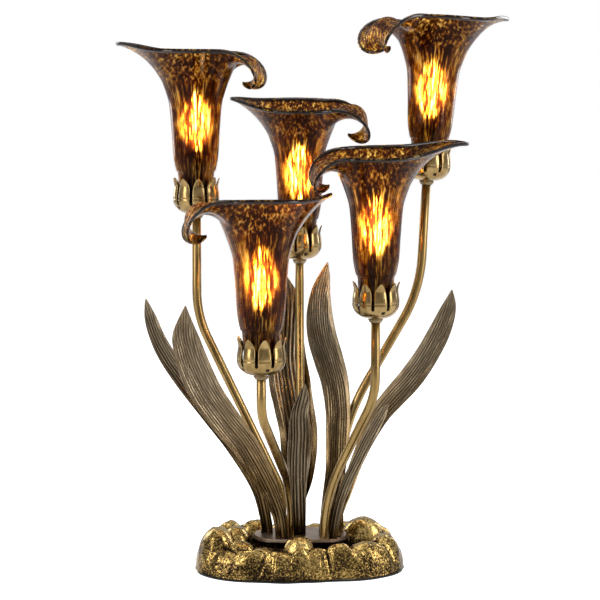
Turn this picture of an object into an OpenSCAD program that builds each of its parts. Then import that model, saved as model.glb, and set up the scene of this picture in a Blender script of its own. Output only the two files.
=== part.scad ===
// Calla lily accent lamp: five glass flowers on bent brass stems, with stamped
// brass leaves, standing in a cast base shaped like a ring of rocks.
// Millimetres, +Z up. The origin is the middle of the underside of the felt,
// the front of the lamp faces -Y.

/* [Base] */
// Length of the casting, left to right
base_l = 221; // [214:1:240]
// Depth of the casting, front to back
base_w = 127; // [122:1:140]
// Turn of the casting about the vertical, seen from above
base_turn = 4; // [-8:0.5:8]
// Height of the flat deck between the rocks
deck_z = 33; // [31:0.5:38]
// Thickness of the deck
deck_t = 6; // [4:0.5:8]
// Lowest point of the rocks outside the deck
crevice_z = 23; // [18:1:28]
// Length of the wide part of the hollow under the casting
hollow_l = 170; // [130:1:176]
// Width of the wide part of the hollow
hollow_w = 84; // [70:1:90]
// Height of the wide part of the hollow above the cover
hollow_h = 14.5; // [14:0.5:16]
// Length of the narrow part of the hollow, under the deck
vault_l = 112; // [104:1:120]
// Width of the narrow part of the hollow
vault_w = 58; // [54:1:66]

/* [Stem plate] */
// Length of the plate that the stems stand in
plate_l = 96; // [94:1:104]
// Width of the plate
plate_w = 50; // [48:1:54]
// Thickness of the plate
plate_t = 3; // [1.5:0.5:4]

/* [Bottom] */
// Thickness of the felt pad
felt_t = 1.6; // [1:0.1:3]
// How far the felt stays inside the casting's edge
felt_inset = 1.5; // [0.5:0.5:6]
// Thickness of the bottom cover
cover_t = 1.2; // [0.8:0.1:2]
// How far the bottom cover laps the casting round the hollow
cover_lap = 11; // [8:0.5:11]
// Diameter of the cover screws
screw_d = 3.5; // [2.5:0.1:4]
// Length of the cover screws under the head
screw_l = 9; // [6:0.5:12]
// Diameter of the cover screws' heads
screw_head_d = 6.6; // [5.8:0.1:7.2]

/* [Cord inlet] */
// Diameter of the bore that the cord passes through
inlet_d = 7.2; // [5:0.1:8]
// Wall of the inlet bushing round the bore
inlet_wall = 1.8; // [1:0.1:2.2]
// Diameter of the bushing's flange
inlet_flange_d = 15; // [13.5:0.5:18]
// Thickness of the bushing's flange
inlet_flange_t = 2; // [1.5:0.25:3]
// Height of the inlet above the table
inlet_z = 12.5; // [12:0.25:13.5]
// Diameter of the boss that the bushing sits in
inlet_boss_d = 19; // [18.5:0.5:21]
// How far behind the base's middle the boss ends
inlet_y = 65; // [64.5:0.5:68]

/* [Stems] */
// Outer diameter of the stem tubes
stem_d = 9.5; // [8.5:0.1:10.2]
// Wall of the stem tubes
stem_wall = 1; // [0.6:0.1:1.6]
// How far the stems reach down below the deck's underside
stem_thread = 10; // [8:0.5:12]
// Width across the flats of the stem nuts
nut_flats = 14; // [12.5:0.5:15]
// Thickness of the stem nuts
nut_t = 4; // [3:0.5:5]
// Diameter of the stem washers
washer_d = 17; // [16:0.5:18]
// Thickness of the stem washers
washer_t = 1.2; // [0.8:0.1:2]
// Diameter of the twin lamp lead in each stem
lead_d = 3.2; // [2:0.1:4]
// Diameter of the caps on the joined leads
splice_d = 11; // [8:0.5:13]
// Length of the caps on the joined leads
splice_l = 20; // [14:1:24]

/* [Flower cups] */
// Diameter of a cup at its crease
cup_d = 48; // [46:0.5:52]
// Depth of a cup below its crease
cup_depth = 15.5; // [14:0.5:18]
// Diameter of a cup's flat bottom
cup_foot_d = 16; // [15:0.5:19]
// Diameter at the petals' waist
petal_waist_d = 45.4; // [43:0.2:47]
// Diameter at the petals' tips
petal_tip_d = 50; // [46:0.5:56]
// Height of the petals above the crease
petal_h = 21; // [17:0.5:26]
// Wall of a cup
cup_wall = 1.2; // [0.8:0.1:1.6]
// Number of petals
petals = 9; // [6:1:11]
// Width of the slots between the petals
slot_w = 3.3; // [2:0.1:4.5]
// How far the slots reach below the crease
slot_low = 5; // [2:0.5:6]
// Height above the crease where the petals begin to taper
slot_high = 10; // [7:0.5:13]
// Number of vent holes in a cup
vents = 5; // [3:1:8]
// Diameter of the vent holes
vent_d = 4; // [2.5:0.1:5]
// Depth of the vent holes' middles below the crease
vent_low = 9; // [8:0.25:10]
// Diameter of the collar under a cup
collar_d = 15.5; // [14:0.5:20]
// Height of the collar under a cup
collar_h = 4.5; // [3:0.5:8]

/* [Sockets] */
// Diameter of a socket's body
socket_d = 21; // [19:0.5:22]
// Height of a socket's body
socket_body_h = 26; // [20:1:30]
// Diameter of a socket's upper sleeve
sleeve_d = 16.4; // [15.5:0.1:18]
// Height of a socket's upper sleeve
sleeve_h = 30; // [24:1:32]
// Depth of the socket's bore that takes the bulb's cap
socket_bore_h = 14; // [12:0.5:20]
// Gap between the bulb's cap and the socket's bore
cap_gap = 0.4; // [0.3:0.05:0.6]

/* [Bulbs] */
// Diameter of a bulb's metal cap
cap_d = 11.9; // [11.5:0.1:12.4]
// Length of a bulb's metal cap
cap_l = 21; // [18:0.5:24]
// Diameter of a bulb's glass
bulb_d = 27; // [22:0.5:27]
// Length of a bulb's glass
bulb_l = 62; // [54:1:66]
// Wall of a bulb's glass
bulb_wall = 0.8; // [0.5:0.1:1.2]
// Length of the filament sticks
filament_l = 30; // [24:1:36]
// Diameter of the filament sticks
filament_d = 1.6; // [1:0.1:2.4]

/* [Shades] */
// Diameter of a shade's lower end, inside the cup
neck_d = 33; // [31:0.5:35]
// Diameter of a shade where it leaves the cup
collar_line_d = 37; // [35:0.5:40]
// Diameter of a shade below its shoulder
barrel_d = 50; // [46:0.5:53]
// Diameter of a shade at its shoulder, where the lip begins
shoulder_d = 68; // [62:1:76]
// Height of the shoulder above the petals' tips
shoulder_h = 95; // [90:1:104]
// Slope of the glass at the shoulder, from the horizontal
shoulder_slope = 63; // [54:1:68]
// Length of the lip at the sides
side_lip = 38; // [26:1:42]
// Wall of the glass
glass_t = 2.6; // [2:0.1:3.2]
// Thickness of the soft ring that a shade stands on
ring_t = 6; // [4:0.5:7]
// Gap between a shade and its ring, and between the ring and the cup
seat_gap = 0.3; // [0.2:0.05:0.5]

/* [Flower 1, top left] */
// Middle of the cup's crease: right of the middle, back from it, above the table
flower_1_at = [-106.5, 22, 385.5]; // [-140:0.5:460]
// Foot of the stem on the base: right of the middle, back from it
foot_1 = [-18, 4]; // [-40:0.5:50]
// Bearing of the mouth's point, from the right and counter-clockwise from above
point_bearing_1 = 172; // [150:1:200]
// Length of the lip at the point
point_lip_1 = 66; // [45:1:80]
// Length of the lip that rolls under
curl_lip_1 = 76; // [60:1:94]
// Tilt of the rim towards the front
rim_tilt_1 = 1; // [-15:0.5:15]

/* [Flower 2, back] */
// Middle of the cup's crease: right of the middle, back from it, above the table
flower_2_at = [0.5, 96, 331.5]; // [-140:0.5:460]
// Foot of the stem on the base: right of the middle, back from it
foot_2 = [2, 14]; // [-40:0.5:50]
// Bearing of the mouth's point, from the right and counter-clockwise from above
point_bearing_2 = 182; // [160:1:200]
// Length of the lip at the point
point_lip_2 = 58; // [45:1:80]
// Length of the lip that rolls under
curl_lip_2 = 90; // [60:1:94]
// Tilt of the rim towards the front
rim_tilt_2 = 8; // [-15:0.5:15]

/* [Flower 3, lowest, front left] */
// Middle of the cup's crease: right of the middle, back from it, above the table
flower_3_at = [-36.5, -106, 237]; // [-140:0.5:460]
// Foot of the stem on the base: right of the middle, back from it
foot_3 = [-8, -11]; // [-40:0.5:50]
// Bearing of the mouth's point, from the right and counter-clockwise from above
point_bearing_3 = 8; // [-30:1:30]
// Length of the lip at the point
point_lip_3 = 55; // [45:1:80]
// Length of the lip that rolls under
curl_lip_3 = 90; // [60:1:94]
// Tilt of the rim towards the front
rim_tilt_3 = -5; // [-15:0.5:15]

/* [Flower 4, front right] */
// Middle of the cup's crease: right of the middle, back from it, above the table
flower_4_at = [77.5, -32, 283]; // [-140:0.5:460]
// Foot of the stem on the base: right of the middle, back from it
foot_4 = [26, -14]; // [-40:0.5:50]
// Bearing of the mouth's point, from the right and counter-clockwise from above
point_bearing_4 = 4; // [-30:1:30]
// Length of the lip at the point
point_lip_4 = 75; // [45:1:80]
// Length of the lip that rolls under
curl_lip_4 = 66; // [60:1:94]
// Tilt of the rim towards the front
rim_tilt_4 = 6; // [-15:0.5:15]

/* [Flower 5, top right] */
// Middle of the cup's crease: right of the middle, back from it, above the table
flower_5_at = [134, 38, 419]; // [-140:0.5:460]
// Foot of the stem on the base: right of the middle, back from it
foot_5 = [42, 7]; // [-40:0.5:50]
// Bearing of the mouth's point, from the right and counter-clockwise from above
point_bearing_5 = 22; // [-10:1:45]
// Length of the lip at the point
point_lip_5 = 67; // [45:1:80]
// Length of the lip that rolls under
curl_lip_5 = 84; // [60:1:94]
// Tilt of the rim towards the front
rim_tilt_5 = 0; // [-15:0.5:15]

/* [Leaves] */
// Thickness of the leaf sheet
leaf_t = 1.2; // [0.8:0.1:1.8]
// Height of every leaf, as a part of the photographed height
leaf_rise = 1; // [0.85:0.01:1.05]
// Width of every leaf, as a part of the photographed width
leaf_spread = 1; // [0.8:0.01:1.1]

/* [Hidden] */
$fn = 64;
overlap = 1;

FLOWERS = [0:4];
LEAVES = [0:6];

brass = [0.55, 0.44, 0.26];
old_brass = [0.36, 0.29, 0.2];
bronze = [0.27, 0.21, 0.14];
gold = [0.62, 0.51, 0.28];
amber_glass = [0.42, 0.2, 0.06, 0.85];
clear_glass = [1, 0.93, 0.7, 0.5];
black = [0.08, 0.08, 0.08];
steel = [0.7, 0.7, 0.68];
felt_green = [0.12, 0.13, 0.12];

flower_at = [flower_1_at, flower_2_at, flower_3_at, flower_4_at, flower_5_at];
foot_at = [foot_1, foot_2, foot_3, foot_4, foot_5];
point_bearing = [point_bearing_1, point_bearing_2, point_bearing_3, point_bearing_4, point_bearing_5];
point_lip = [point_lip_1, point_lip_2, point_lip_3, point_lip_4, point_lip_5];
curl_lip = [curl_lip_1, curl_lip_2, curl_lip_3, curl_lip_4, curl_lip_5];
rim_tilt = [rim_tilt_1, rim_tilt_2, rim_tilt_3, rim_tilt_4, rim_tilt_5];

// Each stem's bends: straight length at the foot, lower radius, upper radius,
// lean of the middle stretch and lean of the flower
stem_bends = [[52, 53, 107, 26.4, 0], [22, 96, 128, 21.4, 0], [38, 72, 34, 46.5, 0],
              [18, 180, 81, 26.2, 0], [71, 200, 140, 32.2, 3.2]];

base_at = [1.5, 1];
cover_z = felt_t;
casting_z = felt_t + cover_t;
head_h = felt_t * 0.7;
vault_z = deck_z - deck_t;
deck_top = deck_z + plate_t;
stem_low = vault_z - stem_thread;
stem_r = stem_d / 2;
fit = 0.1;

// Points of a stadium: a length with round ends
module stadium(l, w) {
    hull() {
        translate([(l - w) / 2, 0]) circle(d = w);
        translate([(w - l) / 2, 0]) circle(d = w);
    }
}

// Distance from the middle of a stadium to its edge, along a bearing
function stadium_reach(l, w, a) =
    let (half = (l - w) / 2, r = w / 2, c = abs(cos(a)), s = abs(sin(a)))
    (r * c <= half * s) ? r / s : half * c + sqrt(r * r - pow(half * s, 2));

// The casting's outline at the table: a squared oval with a cast, uneven edge
oval_power = 2.5;
function oval_reach(a) =
    let (b = a - base_turn,
         round = pow(pow(abs(cos(b)) / (base_l / 2), oval_power)
                   + pow(abs(sin(b)) / (base_w / 2), oval_power), -1 / oval_power))
    round - 1.2 * (1 + sin(5 * a + 40)) - 0.6 * (1 + sin(11 * a));

// The rocks, chosen by eye: right of the middle, back from it, height of the top,
// half length and half depth
rocks = [
    [-86, -14, 47, 19, 20], [-66, 6, 43, 15, 17], [-60, -30, 36, 15, 12], [-38, -38, 31, 11, 9],
    [0, -39, 44, 17, 14], [-80, -38, 29, 17, 15], [-50, -50, 31, 17, 13], [-21, -51, 30, 16, 11],
    [20, -50, 33, 15, 12], [41, -45, 37, 15, 15], [70, -36, 36, 22, 22], [89, -12, 39, 17, 20],
    [68, 22, 48, 24, 20], [96, 18, 36, 14, 20], [48, 46, 38, 20, 14], [16, 48, 34, 17, 12],
    [-16, 47, 37, 18, 13], [-48, 44, 40, 19, 15], [-78, 32, 43, 20, 19], [-98, 8, 34, 12, 18]];
function rock_height(p) = max([for (k = rocks)
    let (d = pow(abs(p[0] - k[0]) / k[3], 2.4) + pow(abs(p[1] - k[1]) / k[4], 2.4))
    d < 1 ? crevice_z + (k[2] - crevice_z) * pow(1 - d, 0.55) : 0]);

// One meridian of the casting, from the deck's edge over the rocks to the table
deck_margin = 2.5;
crest = 0.83;
top_steps = [0, 0.14, 0.3, 0.46, 0.62, 0.8, 1];
wall_steps = [[0.905, 0.85], [0.955, 0.58], [0.985, 0.3], [1, 0]];
function meridian(a) =
    let (inner = stadium_reach(plate_l, plate_w, a) + deck_margin,
         outer = oval_reach(a),
         ridge = outer * crest,
         spot = function (r) [r * cos(a) + base_at[0], r * sin(a) + base_at[1]],
         top = [for (f = top_steps)
             let (r = inner + (ridge - inner) * f, p = spot(r))
             [p[0], p[1], f == 0 ? deck_z : max(crevice_z, rock_height(p))]],
         ridge_z = top[len(top) - 1][2])
    concat(top, [for (w = wall_steps)
        let (p = spot(outer * w[0]))
        [p[0], p[1], casting_z + (ridge_z - casting_z) * w[1]]]);

casting_sides = 96;
module rock_ring() {
    rows = len(top_steps) + len(wall_steps);
    points = [for (k = [0 : casting_sides - 1]) each meridian(k * 360 / casting_sides)];
    polyhedron(points, concat(
        [[for (k = [casting_sides - 1 : -1 : 0]) k * rows]],
        [[for (k = [0 : casting_sides - 1]) k * rows + rows - 1]],
        [for (k = [0 : casting_sides - 1], j = [0 : rows - 2])
            let (a = k * rows, b = ((k + 1) % casting_sides) * rows)
            each [[a + j, b + j, b + j + 1], [a + j, b + j + 1, a + j + 1]]]));
}

// The screws stand at the hollow's four corners, in the middle of the lapped rim
module at_screws() {
    reach = (hollow_w + cover_lap) / 2 * cos(45);
    for (x = [-1, 1], y = [-1, 1])
        translate([base_at[0] + x * ((hollow_l - hollow_w) / 2 + reach), base_at[1] + y * reach, 0]) children();
}

module at_feet() {
    for (f = foot_at) translate([f[0], f[1], 0]) children();
}

module at_base(z) {
    translate([base_at[0], base_at[1], z]) children();
}

inlet_back = base_at[1] + inlet_y;
inlet_front = base_at[1] + hollow_w / 2;
sleeve_r = inlet_d / 2 + inlet_wall;

// A cylinder along Y that starts at the hollow's back wall
module along_inlet(d, from, to) {
    translate([base_at[0], to, inlet_z]) rotate([90, 0, 0]) cylinder(d = d, h = to - from);
}

module base_casting() {
    color(gold) difference() {
        union() {
            rock_ring();
            along_inlet(inlet_boss_d, inlet_front + overlap, inlet_back);
        }
        at_base(casting_z - overlap) linear_extrude(overlap + hollow_h) stadium(hollow_l, hollow_w);
        at_base(casting_z) linear_extrude(vault_z - casting_z) stadium(vault_l, vault_w);
        at_screws() cylinder(d = screw_d + 2 * fit, h = casting_z + screw_l);
        at_feet() cylinder(d = stem_d + 2 * fit, h = deck_z + overlap);
        along_inlet(2 * sleeve_r, inlet_front - overlap, inlet_back + overlap);
    }
}

module stem_plate() {
    color(old_brass) at_base(deck_z) difference() {
        linear_extrude(plate_t) stadium(plate_l, plate_w);
        for (f = foot_at)
            translate([f[0] - base_at[0], f[1] - base_at[1], -overlap])
                cylinder(d = stem_d + 2 * fit, h = plate_t + 2 * overlap);
    }
}

module bottom_cover() {
    color(steel) difference() {
        at_base(cover_z) linear_extrude(cover_t) stadium(hollow_l + 2 * cover_lap, hollow_w + 2 * cover_lap);
        at_screws() cylinder(d = screw_d + 2 * fit, h = casting_z + overlap);
    }
}

// Flat-headed screws: the heads lie in clearance holes of the felt
module cover_screws() {
    color(steel) at_screws() {
        translate([0, 0, cover_z - head_h]) cylinder(d = screw_head_d, h = head_h);
        translate([0, 0, cover_z - overlap / 2]) cylinder(d = screw_d, h = cover_t + screw_l - overlap);
    }
}

module felt_pad() {
    color(felt_green) difference() {
        linear_extrude(felt_t) polygon([for (k = [0 : casting_sides - 1])
            let (a = k * 360 / casting_sides, r = oval_reach(a) - felt_inset)
            [base_at[0] + r * cos(a), base_at[1] + r * sin(a)]]);
        at_screws() translate([0, 0, -overlap]) cylinder(d = screw_head_d + 1, h = felt_t + 2 * overlap);
    }
}

module inlet_bushing() {
    color(black) difference() {
        union() {
            along_inlet(inlet_flange_d, inlet_back, inlet_back + inlet_flange_t);
            along_inlet(2 * sleeve_r - fit, inlet_front, inlet_back + overlap);
        }
        along_inlet(inlet_d, inlet_front - overlap, inlet_back + inlet_flange_t + overlap);
    }
}

module stem_washers() {
    color(steel) at_feet() translate([0, 0, vault_z - washer_t]) difference() {
        cylinder(d = washer_d, h = washer_t);
        translate([0, 0, -overlap]) cylinder(d = stem_d + 2 * fit, h = washer_t + 2 * overlap);
    }
}

module stem_nuts() {
    color(brass) at_feet() translate([0, 0, vault_z - washer_t - nut_t]) difference() {
        cylinder(d = nut_flats / cos(30), h = nut_t, $fn = 6);
        translate([0, 0, -overlap]) cylinder(d = stem_d + 2 * fit, h = nut_t + 2 * overlap, $fn = 64);
    }
}

// A stem's route lies in an upright plane: straight up, bent out, straight,
// bent back, straight. Its two free lengths follow from where it must end.
cup_floor_z = cup_wall - cup_depth;
stem_top = cup_floor_z + 5;
function stem_end(i) = let (lean = stem_bends[i][4], d = run(i))
    [d + stem_top * sin(lean), flower_at[i][2] + stem_top * cos(lean)];
function run(i) = norm([flower_at[i][0] - foot_at[i][0], flower_at[i][1] - foot_at[i][1]]);
function heading(i) = atan2(flower_at[i][1] - foot_at[i][1], flower_at[i][0] - foot_at[i][0]);
function bend_out(i) = let (b = stem_bends[i]) [b[1] * (1 - cos(b[3])), stem_low + b[0] + b[1] * sin(b[3])];
function free_lengths(i) =
    let (b = stem_bends[i], from = bend_out(i), to = stem_end(i),
         p = to[0] - from[0] - b[2] * (cos(b[4]) - cos(b[3])),
         q = to[1] - from[1] - b[2] * (sin(b[3]) - sin(b[4])),
         det = sin(b[3] - b[4]))
    [(p * cos(b[4]) - q * sin(b[4])) / det, (q * sin(b[3]) - p * cos(b[3])) / det];

// A length of round tube or rod of radius r, with a bore of radius hole. It laps
// into the bends at its ends, which are drawn a hair thinner in the wall there.
bend_lap = 0.5;
bend_step = 0.03;
module rod(r, hole, l, lap_low, lap_high) {
    translate([0, 0, -lap_low]) linear_extrude(lap_low + l + lap_high) ring_section(r, hole);
}
module bend(r, hole, radius, angle) {
    translate([radius, 0, 0]) rotate([90, 0, 180]) rotate_extrude(angle = angle)
        translate([radius, 0]) ring_section(r - bend_step, hole > 0 ? hole + bend_step : 0);
}
module ring_section(r, hole) {
    difference() {
        circle(r);
        if (hole > 0) circle(hole);
    }
}

module stem_run(i, r, hole, low, high) {
    b = stem_bends[i];
    free = free_lengths(i);
    corner = bend_out(i);
    second = [corner[0] + free[0] * sin(b[3]), corner[1] + free[0] * cos(b[3])];
    third = [second[0] + b[2] * (cos(b[4]) - cos(b[3])), second[1] + b[2] * (sin(b[3]) - sin(b[4]))];
    translate([foot_at[i][0], foot_at[i][1], 0]) rotate([0, 0, heading(i)]) {
        translate([0, 0, stem_low]) rod(r, hole, b[0], low, bend_lap);
        translate([0, 0, stem_low + b[0]]) bend(r, hole, b[1], b[3]);
        translate([corner[0], 0, corner[1]]) rotate([0, b[3], 0]) rod(r, hole, free[0], bend_lap, bend_lap);
        translate([second[0], 0, second[1]]) rotate([0, b[3], 0])
            rotate([0, 0, 180]) bend(r, hole, b[2], b[3] - b[4]);
        translate([third[0], 0, third[1]]) rotate([0, b[4], 0]) rod(r, hole, free[1], bend_lap, high);
    }
}

module stem(i) {
    color(brass) stem_run(i, stem_r, stem_r - stem_wall, 0, 0);
}

// The lead ends just inside the socket, and hangs below the stem in the hollow
lead_tail = 4;
module lamp_leads() {
    color(black) for (i = FLOWERS) stem_run(i, lead_d / 2, 0, lead_tail, 2 * overlap);
}

// Places what belongs to a flower: its crease is at the origin, its axis is +Z
module at_flower(i) {
    translate(flower_at[i]) rotate([0, 0, heading(i)]) rotate([0, stem_bends[i][4], 0])
        rotate([0, 0, -heading(i)]) children();
}

module splice_caps() {
    color(gold) for (side = [-1, 1])
        translate([base_at[0] + side * (vault_l / 2 + splice_d), base_at[1], casting_z])
            cylinder(d1 = splice_d, d2 = splice_d * 0.7, h = min(splice_l, hollow_h));
}

module collar(i) {
    color(old_brass) at_flower(i) translate([0, 0, -cup_depth - collar_h])
        rotate_extrude() polygon([
            [stem_r + fit, 0], [stem_r + 1.5, 0], [collar_d / 2 - 1, collar_h * 0.35],
            [collar_d / 2, collar_h * 0.6], [collar_d / 2, collar_h], [stem_r + fit, collar_h]]);
}

// The cup's outer radius at a height below or above the crease
bowl_steps = 6;
inside_reach = (cup_d - cup_foot_d) / 2 - cup_wall;
function bowl_point(t) = [cup_foot_d / 2 + (cup_d - cup_foot_d) / 2 * sin(90 * t), -cup_depth * cos(90 * t)];
function bowl_inside(a) = [cup_foot_d / 2 + inside_reach * sin(a), cup_floor_z * cos(a)];
petal_profile = [[cup_d / 2 - 0.3, petal_h * 0.28], [petal_waist_d / 2, petal_h * 0.6],
                 [petal_waist_d / 2 + (petal_tip_d - petal_waist_d) * 0.2, petal_h * 0.82],
                 [petal_tip_d / 2, petal_h]];
cup_outer = concat([for (k = [0 : bowl_steps]) bowl_point(k / bowl_steps)], petal_profile);
cup_inner = concat([for (k = [len(petal_profile) - 1 : -1 : 0]) petal_profile[k] - [cup_wall, 0]],
    [for (k = [bowl_steps : -1 : 0]) bowl_inside(90 * k / bowl_steps)]);

// The gap between two petals: a slot that opens into a pointed arch
module petal_gap() {
    half = petal_tip_d / 2 * tan(180 / petals) - 0.8;
    tall = petal_h - slot_high;
    translate([cup_d / 4, 0, 0]) rotate([90, 0, 90]) linear_extrude(cup_d / 2) {
        translate([0, -slot_low]) circle(d = slot_w, $fn = 24);
        polygon([[-slot_w / 2, -slot_low], [slot_w / 2, -slot_low], [slot_w / 2, slot_high],
                 [half * 0.34, slot_high + tall * 0.4], [half * 0.62, slot_high + tall * 0.75],
                 [half, petal_h + overlap], [-half, petal_h + overlap],
                 [-half * 0.62, slot_high + tall * 0.75], [-half * 0.34, slot_high + tall * 0.4],
                 [-slot_w / 2, slot_high]]);
    }
}

module cup(i) {
    color(brass) at_flower(i) difference() {
        rotate_extrude() polygon(concat(cup_outer, cup_inner,
            [[stem_r + fit, cup_floor_z], [stem_r + fit, -cup_depth]]));
        for (k = [0 : petals - 1]) rotate([0, 0, (k + 0.5) * 360 / petals]) petal_gap();
        for (k = [0 : vents - 1])
            rotate([0, 0, k * 360 / vents]) translate([0, 0, -vent_low]) rotate([0, 110, 0])
                cylinder(d = vent_d, h = cup_d, $fn = 24);
    }
}

socket_r = socket_d / 2;
socket_foot_h = 1.2;
socket_top = cup_floor_z + socket_body_h + sleeve_h;
module socket(i) {
    color(black) at_flower(i) translate([0, 0, cup_floor_z + fit]) difference() {
        union() {
            cylinder(r1 = cup_foot_d / 2, r2 = socket_r, h = socket_foot_h);
            translate([0, 0, socket_foot_h]) cylinder(r = socket_r, h = socket_body_h - socket_foot_h);
            cylinder(d = sleeve_d, h = socket_body_h + sleeve_h);
        }
        translate([0, 0, -overlap]) cylinder(r = stem_r + fit, h = stem_top - cup_floor_z + 2 * overlap + 1);
        translate([0, 0, socket_body_h + sleeve_h - socket_bore_h])
            cylinder(d = cap_d + 2 * cap_gap, h = socket_bore_h + overlap);
    }
}

// The soft ring lies in the bowl where the bowl is as wide as the ring
ring_r = collar_line_d / 2;
ring_turn = asin((ring_r + seat_gap - cup_foot_d / 2) / inside_reach);
ring_low = cup_floor_z * cos(ring_turn);
ring_top = ring_low + ring_t;
module seat_ring(i) {
    color(black) at_flower(i) translate([0, 0, ring_low]) difference() {
        cylinder(r = ring_r, h = ring_t);
        translate([0, 0, -overlap]) cylinder(r = socket_r + 2, h = ring_t + 2 * overlap);
    }
}

// The shade's meridian: heights and half widths up to the shoulder, then a lip
// that goes out, up or under with its bearing
shade_low = ring_top + seat_gap;
line_z = petal_h + 3;
wide = (barrel_d - collar_line_d) / 2;
flare = (shoulder_d - barrel_d) / 2;
shade_body = [
    [neck_d / 2, shade_low], [collar_line_d / 2, line_z], [collar_line_d / 2 + wide * 0.3, line_z + 5],
    [collar_line_d / 2 + wide * 0.63, line_z + 15], [collar_line_d / 2 + wide * 0.8, line_z + 25],
    [barrel_d / 2, line_z + shoulder_h * 0.5], [barrel_d / 2 + flare * 0.22, line_z + shoulder_h * 0.75],
    [barrel_d / 2 + flare * 0.52, line_z + shoulder_h * 0.87], [shoulder_d / 2, line_z + shoulder_h]];

// How much of the lip at a bearing from the point is point, curl or side
point_width = 24;
function point_share(a) = exp(-pow(abs(a) / point_width, 1.15));
curl_half = 54;
function curl_share(a) = let (t = max(0, 1 - (180 - abs(a)) / curl_half)) t * t * (3 - 2 * t);
function mix3(a, side, point, curl) =
    side + (point - side) * point_share(a) + (curl - side) * curl_share(a);

lip_steps = 9;
side_turn = 10;
point_turn = [50, 40, 30, 60, 54];
curl_slope = 68;
curl_turn = 262;
curl_straight = 0.25;
function lip_heading(i, a, t) =
    let (start = mix3(a, 0, 0, curl_straight))
    mix3(a, shoulder_slope, shoulder_slope, curl_slope)
        - mix3(a, side_turn, point_turn[i], curl_turn) * max(0, t - start) / (1 - start);
function lip_points(i, a, k, at) =
    k == lip_steps ? [] :
    let (h = lip_heading(i, a, (k + 0.5) / lip_steps),
         l = mix3(a, side_lip, point_lip[i], curl_lip[i]) / lip_steps,
         p = [at[0] + l * cos(h), at[1] + l * sin(h)])
    concat([p], lip_points(i, a, k + 1, p));
function shade_line(i, a) =
    concat(shade_body, lip_points(i, a, 0, shade_body[len(shade_body) - 1]));
function inward(line, k) =
    let (d = line[min(k + 1, len(line) - 1)] - line[max(k - 1, 0)])
    [-d[1], d[0]] / norm(d);
function shade_skin(line, t) =
    [for (k = [0 : len(line) - 1]) let (n = k == 0 ? [-1, 0] : inward(line, k)) line[k] + t * n];

// Bearings round a mouth, closest together at the point and at the curl
mouth_sides = 32;
function mouth_bearing(k) = let (u = 2 * k / mouth_sides - 1) 180 * u - 15 * sin(360 * u);

module shade(i) {
    rows = len(shade_body) + lip_steps;
    ring = 2 * rows;
    tilt_from = line_z + shoulder_h * 0.6;
    points = [for (k = [0 : mouth_sides - 1])
        let (a = mouth_bearing(k), b = a + point_bearing[i], line = shade_line(i, a),
             outer = shade_skin(line, 0), inner = shade_skin(line, glass_t))
        for (j = [0 : ring - 1])
            let (p = j < rows ? outer[j] : inner[ring - 1 - j],
                 lift = max(0, p[1] - tilt_from) / (line_z + shoulder_h - tilt_from))
            [p[0] * cos(b), p[0] * sin(b), p[1] + p[0] * sin(b) * tan(rim_tilt[i]) * min(1, lift)]];
    color(amber_glass) at_flower(i) polyhedron(points,
        [for (k = [0 : mouth_sides - 1], j = [0 : ring - 1])
            let (a = k * ring, b = ((k + 1) % mouth_sides) * ring, n = (j + 1) % ring)
            each [[a + j, a + n, b + n], [a + j, b + n, b + j]]]);
}

// The bulb: a candle shape on a screw cap
cap_low = socket_top - socket_bore_h + 2 * fit;
cap_top = cap_low + cap_l;
bulb_r = bulb_d / 2;
bulb_shape = [[0.02, 0], [0.1, 0.06], [0.5, 0.18], [0.84, 0.3], [1, 0.42], [0.98, 0.53], [0.82, 0.7],
              [0.56, 0.85], [0.3, 0.95], [0.1, 0.99]];
bulb_neck_r = cap_d / 2 - 0.7;
module bulb_glass(i) {
    n = len(bulb_shape);
    color(clear_glass) at_flower(i) translate([0, 0, cap_top]) rotate_extrude() polygon(concat(
        [for (k = [0 : n - 1]) dome_point(bulb_shape[k], 0)], [[0, bulb_l], [0, bulb_l - bulb_wall]],
        [for (k = [n - 1 : -1 : 0]) dome_point(bulb_shape[k], bulb_wall)]));
}
// Above its widest part the bulb closes to a tip, below it narrows to the cap
function dome_point(p, t) =
    let (closing = p[1] > 0.42, r = closing ? bulb_r * p[0] : bulb_neck_r + (bulb_r - bulb_neck_r) * p[0],
         k = 1 - t / bulb_r)
    closing ? [r * k, bulb_l * (0.42 + (p[1] - 0.42) * k)] : [r - t, p[1] * bulb_l];

filament_ring = 3.6;
filament_low = 12;
module bulb_cap(i) {
    color(steel) at_flower(i) translate([0, 0, cap_low]) {
        translate([0, 0, 2]) cylinder(d = cap_d, h = cap_l - 2);
        cylinder(d1 = cap_d * 0.45, d2 = cap_d * 0.8, h = 2);
        translate([0, 0, cap_l]) {
            cylinder(r = 2.2, h = filament_low - 2);
            cylinder(r = 0.6, h = filament_low + filament_l + 1);
            for (z = [filament_low - 2, filament_low + filament_l]) translate([0, 0, z])
                cylinder(r = filament_ring + 1.2, h = 1);
            for (k = [0 : 3]) rotate([0, 0, 90 * k + 45])
                translate([filament_ring, 0, filament_low - 1.5]) cylinder(d = filament_d, h = filament_l + 2);
        }
    }
}

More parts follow.
